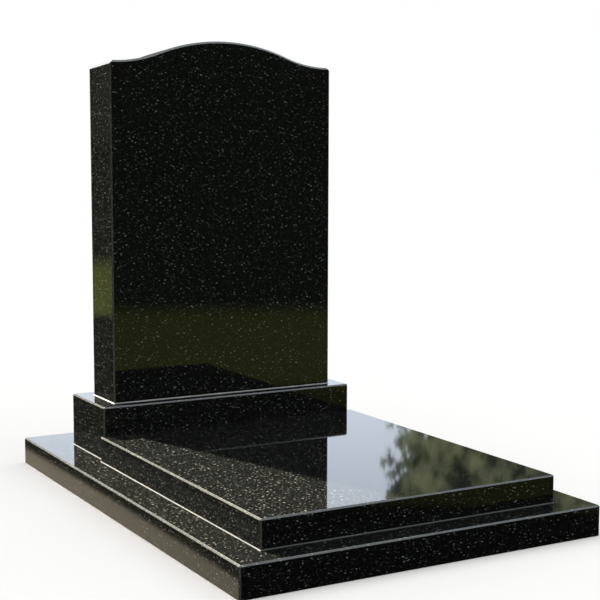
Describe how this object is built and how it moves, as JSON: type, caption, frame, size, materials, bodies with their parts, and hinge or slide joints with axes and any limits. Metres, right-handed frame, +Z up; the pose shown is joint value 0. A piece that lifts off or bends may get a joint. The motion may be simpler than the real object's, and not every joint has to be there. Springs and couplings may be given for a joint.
{
  "type": "granite headstone",
  "caption": "Polished black granite memorial: upright tablet with an ogee top on a base, and a cover slab in front of it, both on one broad bottom slab.",
  "frame": {"origin": "on the ground, under the middle of the bottom slab", "axes": "+Z up, -Y the way the headstone's face looks, over the cover slab, +X to the right of someone facing the back of the headstone from the cover slab's foot"},
  "size_m": [1, 1.445, 1.2593],
  "materials": {
    "polished_granite": "mirror polished black granite with fine silver-grey flecks, honed grey chamfers",
    "pointing": "thin pale grey cement pointing run round the foot of each stone"
  },
  "bodies": {
    "root": {"bottom_slab": "polished_granite", "cover_slab": "polished_granite", "base": "polished_granite", "headstone": "polished_granite"}
  },
  "joints": []
}
